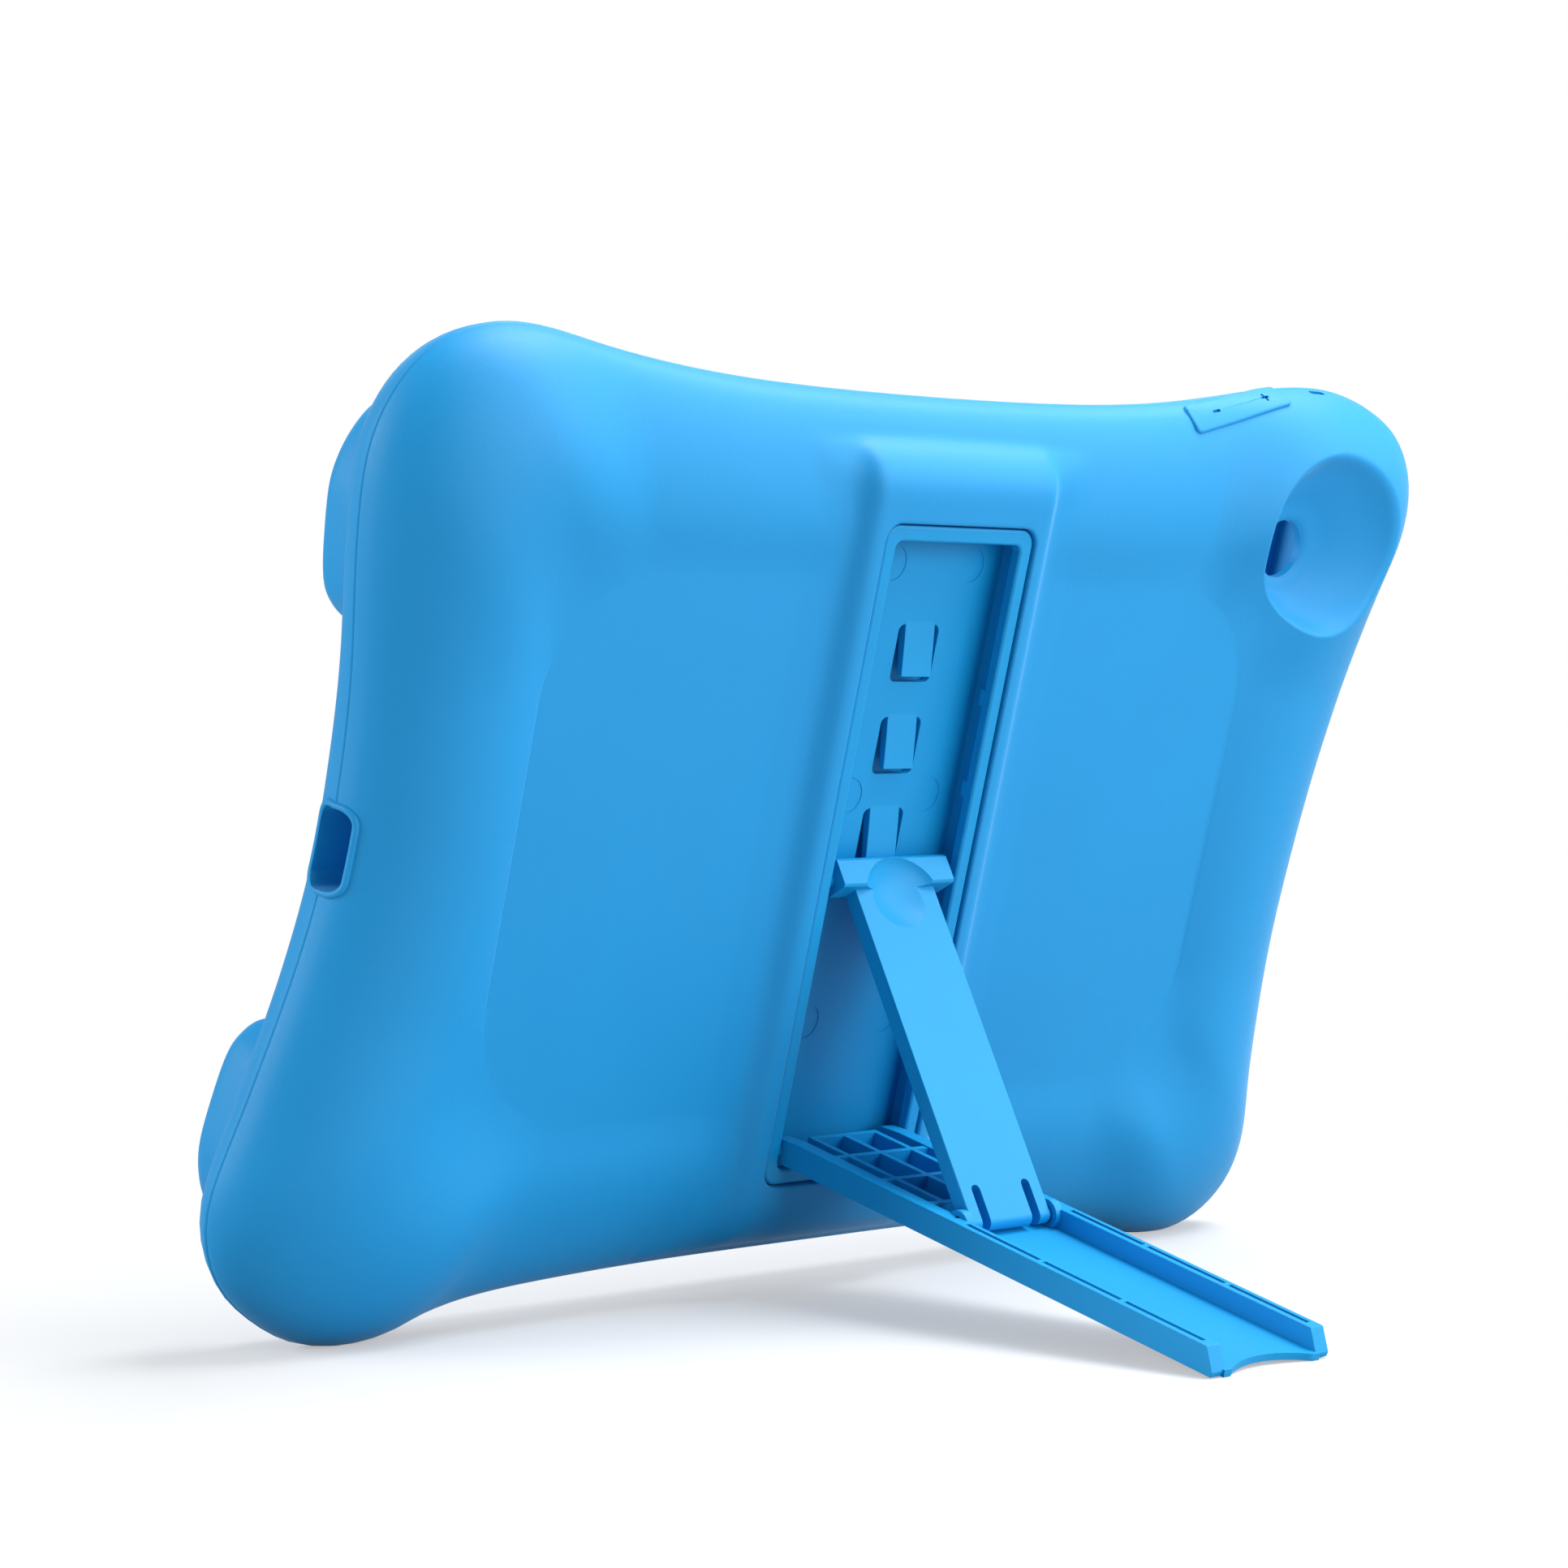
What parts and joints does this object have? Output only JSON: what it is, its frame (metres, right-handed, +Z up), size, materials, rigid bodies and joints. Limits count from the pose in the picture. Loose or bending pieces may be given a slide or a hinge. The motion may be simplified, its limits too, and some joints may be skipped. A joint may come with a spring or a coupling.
{
  "type": "tablet case with stand",
  "caption": "Soft bumper case for a small tablet, standing on a plastic prop that folds flat into its back.",
  "frame": {"origin": "bottom centre of the bounding box, with the case standing in use on a flat floor", "axes": "+Z up, -Y towards the front where the screen is, +Y towards the back where the stand props, +X towards the charging end"},
  "size_m": [0.2544, 0.1286, 0.1636],
  "materials": {
    "silicone": "matte blue silicone",
    "stand_plastic": "satin moulded blue plastic"
  },
  "bodies": {
    "case": {"case_shell": "silicone", "stand_tray": "stand_plastic"},
    "leg": {"stand_leg": "stand_plastic"},
    "strut": {"stand_strut": "stand_plastic"}
  },
  "joints": [
    {"name": "leg_hinge", "type": "hinge", "parent": "case", "child": "leg", "pos_m": [0.00249, -0.03547, 0.02656], "axis": [1, 0, 0], "range_deg": [0, 88.67]},
    {"name": "strut_hinge", "type": "hinge", "parent": "leg", "child": "strut", "pos_m": [0.00249, 0.00575, 0.01747], "axis": [1, 0, 0], "range_deg": [-131.43, 0]}
  ],
  "couplings": [
    {"joint": "strut_hinge", "follows": "leg_hinge", "ratio": -1.48}
  ]
}
